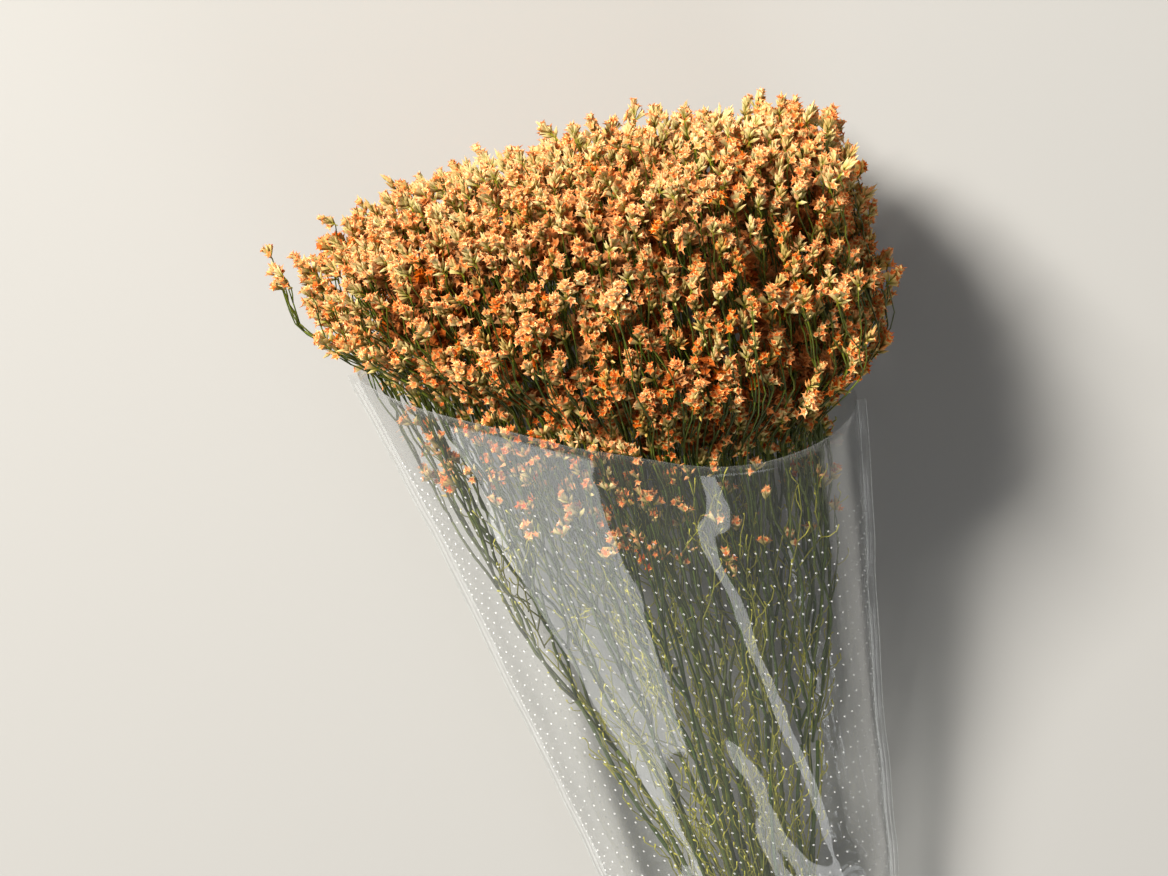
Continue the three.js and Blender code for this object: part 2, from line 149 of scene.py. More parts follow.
# The film sleeve: its taper, its slanted mouth, and its mesh
FILM_BOTTOM_V, FILM_RIM_V, RIM_SLANT, CORNER_RISE, SLEEVE_END = 62, 548, 39, 17, 1.1
FILM_BOTTOM_SIDE, FILM_RIM_SIDE, FILM_SIDE_POWER = 60, 118, 1.43
FILM_BOTTOM_UP, FILM_RIM_UP, FILM_UP_POWER = 13, 80, 0.65
FILM_SLACK, FILM_THICKNESS, FILM_LOWEST = 1.05, 0.2, 0.02
FILM_AROUND, FILM_ALONG = 168, 84

# Creases across the film, as (turns round it, length along it, phase, height), and their share of
# that height on its open part and in the crumples low at its sides
CREASES = [(5, 95, 0.1, 1.0), (-7, 63, 0.4, 0.9), (9, 150, 0.7, 0.7), (-13, 47, 0.2, 0.6)]
CREASES += [(16, -74, 0.9, 0.5)]
CREASE_OPEN, CREASE_CRUMPLED, CRUMPLE_TOP_V, CRUMPLE_OVER, CRUMPLE_SIDE = 0.2, 1.5, 340, 240, 1.5

# Ripples of the film: folds along it, and others that wind round it
FOLDS, FOLD_BEND, FOLD_BENDS, FOLD_HEIGHT = 9, 3, 5, 0.9
WINDS, WIND_ALONG, WIND_HEIGHT, RIPPLE_INSET, RIPPLE_FROM = 5, 14, 0.8, 1.5, 0.9

# The film's cut edges and welded sides, with flutters as (height, length)
RIM_RADIUS, WELD_RADIUS, EDGE_SIDES = 0.18, 0.18, 4
SEAM_STEPS, SEAM_LOWEST, FLUTTERS = 90, 0.5, [(0.7, 15), (0.4, 6.3)]
SEAM_SECTION, WELDS_AT = [(-1.0, -0.12), (5.0, -0.12), (5.0, 0.12), (-1.0, 0.12)], (0.6, 4.7)

# The vents: their rows below the rim, and the section of their rims as (radius, height)
VENT_START, VENT_END, VENT_ALONG, VENT_ACROSS, VENT_MARGIN, VENT_LOWEST = 50, 6, 10, 6, 5, 2
VENT_SIDES, VENT_RIM = 4, [(0.32, 0.0), (0.48, 0.26), (0.66, 0.0)]
VENT_STEPS, NUDGE_ANGLE, NUDGE_SHARE = 400, 0.01, 0.005

# The rubber band
BAND_STEPS, BAND_SIDES, BAND_TURNS, BAND_RADIUS, BAND_THICK, BAND_WIDE = 96, 8, 3, 11.2, 1.2, 2.2
BAND_STEP, BAND_ASKEW, ASKEW_TURN, BAND_LIFT, LIFT_START, LIFT_TURN = 2.2, 1.3, 2.4, 0.35, 1.1, 2.1

# Numbers of the materials in the sprays and in the film
PETALS, STEMS = 0, 1
FILM, WELD = 0, 1

# The floor, in metres, and the lamps: place, aim, size, power, colour, and what doesn't see them
FLOOR_REACH = 4.0
LAMPS = {
    "key": ((-1.6, 2.9, 2.66), (0, 0.25, 0.1), (1.1, 1.1), 450, (1, 0.95, 0.87), "visible_glossy"),
    "fill": ((0.6, -1.3, 1.2), (0, 0, 0.05), (1.2, 1.2), 10, (1, 1, 1), "visible_glossy"),
    "wide_card": ((-0.9, -0.9, 0.95), (0, 0.05, 0.1), (1.1, 0.9), 6.5, (1, 1, 1), "visible_diffuse"),
    "narrow_card": ((0.6, -1.15, 0.95), (0, 0.05, 0.1), (0.3, 0.9), 1.8, (1, 1, 1), "visible_diffuse"),
}
WORLD_COLOUR, WORLD_STRENGTH = (1, 0.96, 0.91, 1), 0.1

# The camera, with its target in the bunch's millimetres and the rest in metres
CAMERA_LEAN, CAMERA_TILT, CAMERA_WIDTH = math.radians(14), math.radians(16), math.radians(23.46)
CAMERA_TARGET, CAMERA_DISTANCE, CAMERA_CLIP = (-21.6, 559, 150), 1.35, (0.05, 20)

band_low, band_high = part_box("rubber_band")
ORIGIN = np.array((band_low + band_high) / 2) - np.array([0, TIE_V, TIE_HEIGHT]) / MM_PER_METRE


def linear(code):
    """A colour written as on the screen, as the linear red, green and blue that shaders take."""
    values = np.array([int(code[i : i + 2], 16) for i in (0, 2, 4)]) / 255
    return np.where(values < 0.04045, values / 12.92, ((values + 0.055) / 1.055) ** 2.4)


# Colours of the florets' parts, from pale to deep, a range used both for tones that differ and for
# painted light and shade, and of the stems, twigs, cut faces and band
PALETTE = {
    "green": (linear("A8A032"), linear("586414")),
    "cream": (linear("FFEDB6"), linear("F8CE74")),
    "petal": (linear("FFC084"), linear("EE7A1E")),
    "throat": (linear("F4963C"), linear("CA4808")),
}
PARTS = list(PALETTE)
STEM_GREEN, STEM_OLIVE, STEM_TAN = linear("3A5214"), linear("5C641C"), linear("A08C56")
TWIG_YELLOW, PITH, RUBBER, FLOOR = (linear(code) for code in ("C4BE46", "D9C99C", "B08A55", "AAAAA9"))


def mix(a, b, t):
    return a + (b - a) * t


def smooth(t):
    t = np.clip(t, 0, 1)
    return t * t * (3 - 2 * t)


def unit(vectors):
    return vectors / np.maximum(np.linalg.norm(vectors, axis=-1, keepdims=True), 1e-9)


def axis_height(v):
    """Height of the bunch's centre line over the surface it lies on."""
    start = TIE_V + AXIS_LEVEL
    t = np.maximum(0, (v - start) / (FILM_RIM_V - start))
    return TIE_HEIGHT + (AXIS_RIM_HEIGHT - TIE_HEIGHT) * t**AXIS_RISE


def outline_reach(angle, v, side, up, down):
    """Distance from the centre line to an outline whose lower half is boxy away from the tie."""
    rising = np.sin(angle) >= 0
    power = np.where(rising, ROUND, mix(ROUND, BOXY, smooth((v - TIE_V) / BOXY_OVER)))
    height = np.where(rising, up, down)
    terms = (np.abs(np.cos(angle)) / side) ** power + (np.abs(np.sin(angle)) / height) ** power
    return terms ** (-1 / power)


def angles_round(count):
    return np.arange(count) / count * TURN


def polar(rho, angle, along):
    return np.stack([rho * np.cos(angle), rho * np.sin(angle), along], -1)


def rim_v(angle):
    across = np.cos(angle)
    return FILM_RIM_V - RIM_SLANT * across + CORNER_RISE * across**4


def sleeve_size(v):
    """How far the film reaches to the side, up and down from the centre line."""
    s = np.clip((v - FILM_BOTTOM_V) / (FILM_RIM_V - FILM_BOTTOM_V), 0, SLEEVE_END)
    side = mix(FILM_BOTTOM_SIDE, FILM_RIM_SIDE, s**FILM_SIDE_POWER)
    up = mix(FILM_BOTTOM_UP, FILM_RIM_UP, s**FILM_UP_POWER)
    return side, up, axis_height(v) * FILM_SLACK


def bunch_reach(angle, v):
    """Distance from the centre line to the outside of the bunch."""
    side, up, _ = sleeve_size(v)
    opening = np.maximum((v - TIE_V) / (FILM_RIM_V - TIE_V), 0) ** OPENING_POWER
    over = smooth((v - rim_v(angle)) / SPREAD)
    inside = (
        np.minimum(TIE_RADIUS + OPENING_SIDE * opening, side - ROOM_SIDE),
        np.minimum(TIE_RADIUS + OPENING_UP * opening, up - ROOM_UP),
        np.minimum(TIE_RADIUS + OPENING_DOWN * opening, axis_height(v) - ROOM_DOWN),
    )
    head = (HEAD_SIDE, HEAD_UP, axis_height(v) - ROOM_FLOOR)
    opened = outline_reach(angle, v, *(mix(a, b, over) for a, b in zip(inside, head)))
    return np.where(v < TIE_V, TIE_RADIUS + TIE_SPLAY * (TIE_V - v), opened)


def place(u, w, v):
    """Where a place in the bunch is, as x, y, z."""
    angle = np.arctan2(w, u)
    reach = np.hypot(u, w) * bunch_reach(angle, v)
    return np.stack([reach * np.cos(angle), v, axis_height(v) + reach * np.sin(angle)], -1)


def placed(name, data):
    made = bpy.data.objects.new(name, data)
    bpy.context.scene.collection.objects.link(made)
    return made


class Shape:
    """Points, triangular faces, a colour for each point and a material number for each face."""

    def __init__(self):
        self.points, self.faces, self.colours, self.kinds, self.count = [], [], [], [], 0

    def add(self, points, faces, colours, kind):
        points = np.asarray(points, float).reshape(-1, 3)
        faces = np.asarray(faces).reshape(-1, 3)
        self.points.append(points)
        self.faces.append(faces + self.count)
        self.colours.append(np.broadcast_to(colours, points.shape))
        self.kinds.append(np.full(len(faces), kind))
        self.count += len(points)

    def piece(self, name, materials, smooth_kinds):
        """Makes the mesh object, in metres in the frame."""
        points = np.concatenate(self.points) / MM_PER_METRE + ORIGIN
        faces = np.concatenate(self.faces).astype(np.int32)
        kinds = np.concatenate(self.kinds).astype(np.int32)
        colours = np.concatenate(self.colours)
        mesh = bpy.data.meshes.new(name)
        mesh.vertices.add(len(points))
        mesh.vertices.foreach_set("co", points.astype(np.float32).ravel())
        mesh.loops.add(faces.size)
        mesh.loops.foreach_set("vertex_index", faces.ravel())
        mesh.polygons.add(len(faces))
        mesh.polygons.foreach_set("loop_start", np.arange(len(faces), dtype=np.int32) * 3)
        mesh.polygons.foreach_set("material_index", kinds)
        mesh.polygons.foreach_set("use_smooth", np.isin(kinds, smooth_kinds))
        mesh.update(calc_edges=True)
        attribute = mesh.color_attributes.new("tint", "FLOAT_COLOR", "POINT")
        with_alpha = np.column_stack([colours, np.ones(len(colours))])
        attribute.data.foreach_set("color", with_alpha.astype(np.float32).ravel())
        for material in materials:
            mesh.materials.append(material)
        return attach(placed(name, mesh), "root")


def wall_faces(rings, sides, closed=False):
    """Triangles between rings of points. A closed tube's last ring is joined to its first."""
    i, k = np.meshgrid(np.arange(rings if closed else rings - 1), np.arange(sides), indexing="ij")
    a = (i * sides + k).ravel()
    b = (i * sides + (k + 1) % sides).ravel()
    c, d = (b + sides) % (rings * sides), (a + sides) % (rings * sides)
    return np.concatenate([np.stack([a, b, c], -1), np.stack([a, c, d], -1)])


def tube_faces(rings, sides):
    """Triangles of a tube with closed ends, for points in rings."""
    last = (rings - 1) * sides
    k = np.arange(1, sides - 1)
    start = np.stack([np.zeros_like(k), k + 1, k], -1)
    end = np.stack([np.full_like(k, last), last + k, last + k + 1], -1)
    return np.concatenate([wall_faces(rings, sides), start, end])


def repeated(faces, size, count):
    """The faces of a mesh of so many points, for this many copies of it."""
    return (faces[None] + (np.arange(count) * size)[:, None, None]).reshape(-1, 3)


def tubes(lines, radii, sides, ridges=0.0):
    """Tubes along many lines of the same number of points: their points and faces."""
    many, steps, _ = lines.shape
    along = unit(np.gradient(lines, axis=1))
    flattest = np.argmin(np.abs(along.mean(axis=1)), axis=-1)
    reference = np.eye(3)[flattest][:, None, :]
    e1 = unit(reference - along * (along * reference).sum(-1, keepdims=True))
    e2 = np.cross(along, e1)
    angle = angles_round(sides)
    ridge = 1 + ridges * (np.arange(sides) % 2)
    across = (
        e1[:, :, None, :] * (np.cos(angle) * ridge)[:, None]
        + e2[:, :, None, :] * (np.sin(angle) * ridge)[:, None]
    )
    points = lines[:, :, None, :] + across * radii[:, :, None, None]
    return points.reshape(-1, 3), repeated(tube_faces(steps, sides), steps * sides, many)


def loop_tube(shape, line, section, colour, kind):
    """A tube round a closed line, with the offsets of its section's corners at every point."""
    points = line[:, None, :] + section
    shape.add(points, wall_faces(len(line), section.shape[1], closed=True), colour, kind)


def part_weights(*names):
    """One row for each point: which part of the flower gives it its colour."""
    rows = np.zeros((len(names), len(PARTS)))
    rows[np.arange(len(names)), [PARTS.index(name) for name in names]] = 1
    return rows


def join(parts):
    """One mesh from several of (points, faces, weights)."""
    starts = np.cumsum([0] + [len(points) for points, _, _ in parts[:-1]])
    return (
        np.concatenate([points for points, _, _ in parts]),
        np.concatenate([faces + start for (_, faces, _), start in zip(parts, starts)]),
        np.concatenate([weights for _, _, weights in parts]),
    )


def ring(radii, heights, turn):
    return polar(radii, turn + angles_round(len(radii)), heights)


def cup_mesh(profile, turn):
    """Points and faces of a cup along +Z, with a corner for each lobe: its foot is closed and
    its top is open."""
    points = [ring(np.full(LOBES, radius), np.full(LOBES, height), turn) for radius, height in profile]
    foot = np.array([(0, k + 1, k) for k in range(1, LOBES - 1)])
    return np.concatenate(points), np.concatenate([foot, wall_faces(len(profile), LOBES)])


def calyx(profile, top, names, draw):
    """A closed cup or bud: rings of (radius, height) and a point in the middle of its top. The
    names are of the parts of the flower at each ring and at that point."""
    points, faces = cup_mesh(profile, draw.uniform(0, 1))
    points[-LOBES:] += CRINKLE * draw.standard_normal((LOBES, 3))
    last = LOBES * (len(profile) - 1)
    lid = [(last + k, last + (k + 1) % LOBES, last + LOBES) for k in range(LOBES)]
    weights = part_weights(*[name for name in names[:-1] for _ in range(LOBES)], names[-1])
    return np.concatenate([points, [top]]), np.concatenate([faces, lid]), weights


def corolla(foot, notch, tip, throat, draw):
    """A closed, lobed star on a narrow foot, which dips to its throat."""
    turn = draw.uniform(0, 1)
    between = np.arange(2 * LOBES) % 2
    radii = np.where(between, notch[0], tip[0]) * (1 + RUFFLE * draw.standard_normal(2 * LOBES))
    heights = np.where(between, notch[1], tip[1]) + LOBE_LIFT * draw.standard_normal(2 * LOBES)
    points, faces = cup_mesh([foot], turn)
    points = np.concatenate([points, ring(radii, heights, turn), [[0, 0, throat]]])
    faces = list(faces)
    middle = 3 * LOBES
    for k in range(LOBES):
        after = (k + 1) % LOBES
        tip_here, notch_here, tip_after = LOBES + 2 * k, LOBES + 2 * k + 1, LOBES + 2 * after
        faces += [(k, after, notch_here), (k, notch_here, tip_here), (notch_here, after, tip_after)]
        faces += [(tip_here, notch_here, middle), (notch_here, tip_after, middle)]
    weights = part_weights(*["throat"] * LOBES, *["petal"] * 2 * LOBES, "throat")
    return points, np.array(faces), weights


def open_floret(draw):
    """A floret: a papery calyx that stands up from a green foot, with its corolla in its mouth."""
    size = draw.uniform(*OPEN_SIZE)
    cup = calyx(OPEN_CUP, OPEN_CUP_TOP, ("green", "cream", "cream"), draw)
    star = corolla(**OPEN_STAR, draw=draw)
    points, faces, weights = join([cup, star])
    return points * size, faces, weights


def closed_floret(draw):
    """A pointed bud: green below, and cream at its tip, or orange where it is about to open."""
    size = draw.uniform(*BUD_SIZE)
    points, faces, weights = calyx(BUD, BUD_TOP, ("green", "green", "cream"), draw)
    weights[LOBES : 2 * LOBES] = (part_weights("green") + part_weights("cream")) / 2
    if draw.random() < OPENING_BUDS:
        weights[LOBES : 2 * LOBES] = (part_weights("cream") + part_weights("petal")) / 2
        weights[-1] = part_weights("petal")
    return points * size, faces, weights


def plain_floret(draw):
    """A floret for the depths of the head: a star on a pointed foot."""
    points, _, weights = corolla(**PLAIN_STAR, draw=draw)
    edge = np.arange(2 * LOBES)
    after = (edge + 1) % (2 * LOBES)
    foot, throat = np.full(2 * LOBES, 2 * LOBES), np.full(2 * LOBES, 2 * LOBES + 1)
    faces = np.concatenate([np.stack([edge, foot, after], -1), np.stack([edge, after, throat], -1)])
    foot_point = [[0, 0, PLAIN_STAR["foot"][1]]]
    points = np.concatenate([points[LOBES : 3 * LOBES], foot_point, points[-1:]])
    weights = np.concatenate([weights[LOBES : 3 * LOBES], part_weights("green", "throat")])
    return points * draw.uniform(*PLAIN_SIZE), faces, weights


def turned(points, tilt, azimuth):
    """Points that stood along +Z, tilted from it towards an azimuth."""
    c, s = math.cos(tilt), math.sin(tilt)
    x, y, z = points.T
    x, z = c * x + s * z, c * z - s * x
    ca, sa = math.cos(azimuth), math.sin(azimuth)
    return np.stack([ca * x - sa * y, sa * x + ca * y, z], -1)


def cluster(kind, opened, opened_floret, draw):
    """A small fan of florets at the end of a twig, standing along +Z: its mesh."""
    count = int(draw.integers(*FLORETS[kind]))
    length = FLORET_STEP * count
    parts = []
    for i in range(count):
        t = i / (count - 1)
        tilt = mix(LEAN_LOW, LEAN_HIGH, t**LEAN_EASE) + draw.uniform(-UNEVEN_LEAN, UNEVEN_LEAN)
        azimuth = i * GOLDEN + draw.uniform(-UNEVEN_TURN, UNEVEN_TURN)
        grow = opened_floret if draw.random() < opened else closed_floret
        points, faces, weights = grow(draw)
        parts.append((turned(points, tilt, azimuth) + [0, 0, length * t], faces, weights))
    line = np.array([[[0, 0, length * t] for t in STALK_STEPS]])
    points, faces = tubes(line, np.full((1, len(STALK_STEPS)), STALK_RADIUS), TWIG_SIDES)
    parts.append((points, faces, part_weights(*["green"] * len(points))))
    points, faces, weights = join(parts)
    return points * [1, FAN_DEPTH, 1], faces, weights


def cluster_kinds(draw):
    """Templates of clusters of each kind, the whole and small ones from mostly in bud to open."""
    return {
        WHOLE: [cluster(WHOLE, share, open_floret, draw) for share in OPENNESS],
        PLAIN: [cluster(PLAIN, 1.0, plain_floret, draw) for _ in range(PLAIN_TEMPLATES)],
        SMALL: [cluster(SMALL, share, open_floret, draw) for share in OPENNESS[::2]],
    }


def stems_of_bunch():
    """Where each stem stands across the bunch: one in the middle and two rings round it."""
    stems = []
    for count, radius, turn in RINGS:
        for i in range(count):
            angle = (i + turn) / count * TURN
            stems.append((radius * math.cos(angle), radius * math.sin(angle)))
    return np.array(stems)


def dome_profile(steps):
    """The dome over the head's shoulder from the middle of its top, in steps of equal area: for each
    the distance from the middle and the height along the bunch."""
    bend = np.linspace(0, math.pi / 2, 801)
    power = 2 / ROUNDNESS
    rho = np.sin(bend) ** power
    v = mix(SHOULDER_V, TOP_V, np.clip(np.cos(bend), 0, 1) ** power)
    mean_radius = (HEAD_SIDE + HEAD_UP) / 2
    strip = (rho[1:] + rho[:-1]) * np.hypot(mean_radius * np.diff(rho), np.diff(v))
    area = np.concatenate([[0], np.cumsum(strip)])
    at = (np.arange(steps) + 0.5) / steps * area[-1]
    return np.interp(at, area, rho), np.interp(at, area, v)


def evened(angle, strength):
    """Angles turned towards the long sides of the head's oval, where a turn covers more of it."""
    return np.arctan2((HEAD_UP / HEAD_SIDE) ** strength * np.sin(angle), np.cos(angle))


def layer_tips(count, draw):
    """Evenly spread places on the head's outside, as rows of u, w and v: on the dome, and then on
    the side below it, down to the rim of the film."""
    on_dome = round(count * DOME_SHARE)
    step = 1 / math.sqrt(count)
    rho, dome_v = dome_profile(on_dome)
    dome_angle = evened(np.arange(on_dome) * GOLDEN, DOME_EVENING)
    number = np.arange(4 * count)
    side_angle = evened(GOLDEN * number + 1, SIDE_EVENING)
    side_v = mix(SHOULDER_V, FILM_RIM_V - RIM_SLANT, (number + 0.5) / len(number))
    stands_clear = side_v > rim_v(side_angle) + RIM_GAP
    # The underside, which the bunch's weight presses, gets half as many
    unpressed = (np.sin(side_angle) > -UNDERSIDE) | (number % 2 == 0)
    chosen = draw.permutation(np.flatnonzero(stands_clear & unpressed))[: count - on_dome]
    angle = np.concatenate([dome_angle, side_angle[chosen]])
    angle += draw.normal(0, TURN_SCATTER * step, count)
    rho = np.concatenate([rho, np.ones(count - on_dome)])
    rho = np.clip(rho + draw.normal(0, REACH_SCATTER * step, count), 0, 1)
    v = np.concatenate([dome_v, side_v[chosen]]) + draw.normal(0, V_SCATTER, count)
    return polar(rho, angle, v)


def sink_tips(tips, deep):
    """Moves tips inwards from the head's outside: down from the dome, and in from the side."""
    rho = np.hypot(tips[:, 0], tips[:, 1])
    shoulder = smooth((tips[:, 2] - SHOULDER_V) / SHOULDER_OVER)
    side = smooth((rho - SIDE_FROM) / SIDE_OVER) * mix(1.0, SHOULDER_SHARE, shoulder)
    inward = 1 - deep / MEAN_HALF_WIDTH * side
    return np.column_stack([tips[:, :2] * inward[:, None], tips[:, 2] - deep * (1 - SIDE_KEEPS * side)])


def billows(tips, draw):
    """How much deeper each tip lies than the middle of the rounded billow that it belongs to."""
    centres = layer_tips(BILLOWS, draw)
    apart = np.linalg.norm(place(*tips.T)[:, None] - place(*centres.T)[None], axis=-1).min(axis=1)
    return BILLOW_DEPTH * np.minimum((apart / BILLOW_REACH) ** 2, 1)


def inner_tips(count, draw):
    """Ends of the shorter twigs that flower below the rim, inside the film."""
    angle = np.where(draw.random(count) < LEFT_SHARE, draw.uniform(*LEFT_SECTOR, count), 0)
    angle = np.where(angle > 0, angle, draw.uniform(0, TURN, count))
    rho = np.sqrt(draw.uniform(*INNER_AREA, count))
    v = rim_v(angle) - INNER_DEPTH * draw.uniform(0, 1, count) ** INNER_EASE
    return polar(rho, angle, v)


def side_sprigs(draw):
    """Ends of the loose sprigs that fan out at the -X side, most of them low over the rim."""
    angle = np.repeat(math.pi + draw.uniform(*SPRIG_SECTOR, SIDE_SPRIGS), FAN)
    rho = np.repeat(draw.uniform(*SPRIG_REACH, SIDE_SPRIGS), FAN)
    rise = np.repeat(SPRIG_RISE * draw.uniform(SPRIG_LOW, 1, SIDE_SPRIGS) ** 2, FAN)
    count = len(angle)
    angle += draw.normal(0, FAN_TURN, count)
    rho += draw.normal(0, FAN_REACH, count)
    v = rim_v(angle) + rise + draw.normal(0, FAN_V, count)
    rho = np.minimum(rho, FURTHEST)
    return polar(rho, angle, v)


def all_tips(draw):
    """The ends of all twigs that flower, and the kind of cluster on each."""
    found, kinds = [side_sprigs(draw)], [np.full(SIDE_SPRIGS * FAN, SMALL)]
    for count, sink, kind in LAYERS:
        tips = layer_tips(count, draw)
        deep = sink + draw.uniform(*SINK_RANGE, count) + billows(tips, draw)
        if kind == WHOLE:
            deep -= PROUD_REACH * (draw.random(count) < PROUD_SHARE)
        kept = (tips[:, 0] > -LOOSE_SIDE) | (draw.random(count) > THINNED)
        found.append(sink_tips(tips, deep)[kept])
        kinds.append(np.full(kept.sum(), kind))
    found.append(inner_tips(INNER_TIPS, draw))
    kinds.append(np.full(INNER_TIPS, SMALL))
    return np.concatenate(found), np.concatenate(kinds)


def join_twigs(tips, draw):
    """Joins the two twigs that meet highest, again and again, down to the last forks.
    Returns the nodes (u, w, v), each one's parent (-1 for none) and how many tips it carries."""
    nodes, parents, carried = [tuple(t) for t in tips], [-1] * len(tips), [1] * len(tips)
    active = list(range(len(tips)))
    scale = np.array([HEAD_SIDE, HEAD_UP])
    while len(active) > 1:
        at = np.array([nodes[i] for i in active])
        gap = np.linalg.norm((at[:, None, :2] - at[None, :, :2]) * scale, axis=-1)
        meet = np.minimum(at[:, None, 2], at[None, :, 2]) - gap / 2 / FORK_SLOPE - FORK_DROP
        np.fill_diagonal(meet, -np.inf)
        a, b = np.unravel_index(np.argmax(meet), meet.shape)
        if meet[a, b] < LOWEST_FORK:
            break
        i, j = active[a], active[b]
        share = math.sqrt(carried[j]) / (math.sqrt(carried[i]) + math.sqrt(carried[j]))
        u, w = mix(at[a], at[b], share)[:2] + draw.normal(0, FORK_DRIFT, 2)
        nodes.append((u, w, meet[a, b] - draw.uniform(0, FORK_JITTER)))
        parents.append(-1)
        carried.append(carried[i] + carried[j])
        parents[i] = parents[j] = len(nodes) - 1
        active = [k for k in active if k not in (i, j)] + [len(nodes) - 1]
    return np.array(nodes), np.array(parents), np.array(carried)


def sway(across, t, amount, draw):
    """Moves lines a little to and fro across the bunch, but not at their ends nor out of its outline."""
    phase = draw.uniform(0, TURN, (len(across), 1, 2))
    waves = draw.uniform(*WAVES, (len(across), 1, 2))
    bell = np.sin(math.pi * t)[None, :, None]
    moved = across + amount * bell * np.sin(TURN * waves * t[None, :, None] + phase)
    allowed = np.maximum(np.linalg.norm(across, axis=-1, keepdims=True), WITHIN)
    return moved * np.minimum(1, allowed / np.linalg.norm(moved, axis=-1, keepdims=True).clip(1e-6))


def curve(start, end, steps, draw, amount):
    """Lines from each start to each end, bending towards the flowers, as x, y, z."""
    t = np.linspace(0, 1, steps)
    ease = (1 - (1 - t) ** TWIG_EASE)[None, :, None]
    across = start[:, None, :2] + (end - start)[:, None, :2] * ease
    v = start[:, None, 2] + (end - start)[:, None, 2] * t
    across = sway(across, t, amount, draw)
    return place(across[..., 0], across[..., 1], v)


def twig_radius(carried):
    return np.minimum(TWIG_RADIUS * carried**TWIG_GROWTH, FORK_RADIUS)


def stem_colour(v, draw):
    """Olive green stems that turn tan near their cut ends, each a little different."""
    v = np.asarray(v)[..., None]
    olive = draw.uniform(*OLIVE_RANGE) + OLIVE_GAIN * smooth((v - OLIVE_FROM) / OLIVE_OVER)
    green = mix(STEM_GREEN, STEM_OLIVE, olive)
    return mix(STEM_TAN, green, smooth((v - TAN_FROM) / TAN_OVER)) * draw.uniform(*STEM_SHADE)


def add_twigs(shape, nodes, parents, carried, draw):
    """The twigs between forks, as thin tubes, with more points in the longer ones."""
    child = np.flatnonzero(parents >= 0)
    start, end = nodes[parents[child]], nodes[child]
    length = end[:, 2] - start[:, 2]
    for low, high, steps, amount in TWIG_LENGTHS:
        chosen = (length >= low) & (length < high)
        if not chosen.any():
            continue
        lines = curve(start[chosen], end[chosen], steps, draw, amount)
        ends = twig_radius(carried[child[chosen]])
        starts = np.minimum(twig_radius(carried[parents[child[chosen]]]), ends * TWIG_TAPER)
        radii = mix(starts[:, None], ends[:, None], np.linspace(0, 1, steps)[None, :])
        points, faces = tubes(lines, radii, TWIG_SIDES)
        shape.add(points, faces, stem_colour(points[:, 1], draw), STEMS)


def add_stem(shape, stem, nodes, parents, carried, draw):
    """The main stem, and the long branches that leave it, each to a node that has no fork below."""
    tops = np.flatnonzero(parents < 0)
    distance = np.linalg.norm(nodes[tops, :2] - stem, axis=-1)
    lead = tops[np.argmin(distance - LEAD_PULL * carried[tops])]
    lead_v = nodes[lead, 2]
    v = np.linspace(CUT_STAGGER * draw.random(), lead_v, STEM_STEPS)
    bend = smooth((v - STEM_BENDS_V) / max(lead_v - STEM_BENDS_V, SHORTEST_BEND))
    across = stem + (nodes[lead, :2] - stem) * bend[:, None]
    free = np.clip((v - STRAIGHT_V) / (lead_v - STRAIGHT_V), 0, 1)
    across = sway(across[None], free, STEM_SWAY, draw)[0]
    line = place(across[:, 0], across[:, 1], v)
    radii = mix(STEM_RADIUS, twig_radius(carried[lead]), smooth((v - TIE_V) / (lead_v - TIE_V)))
    points, faces = tubes(line[None], radii[None], STEM_SIDES, STEM_RIDGES)
    colours = stem_colour(points[:, 1], draw)
    colours[:STEM_SIDES] = PITH
    shape.add(points, faces, colours, STEMS)
    for top in tops[tops != lead]:
        gap = np.linalg.norm((nodes[top, :2] - stem) * [HEAD_SIDE, HEAD_UP])
        lowest = BRANCH_V + BRANCH_SPREAD * draw.random()
        start = np.array([[*stem, max(lowest, nodes[top, 2] - gap / BRANCH_SLOPE * BRANCH_EASE)]])
        lines = curve(start, nodes[top][None], BRANCH_STEPS, draw, STEM_SWAY)
        radii = mix(BRANCH_RADIUS, twig_radius(carried[top]), np.linspace(0, 1, BRANCH_STEPS))
        points, faces = tubes(lines, radii[None], BRANCH_SIDES)
        shape.add(points, faces, stem_colour(points[:, 1], draw), STEMS)


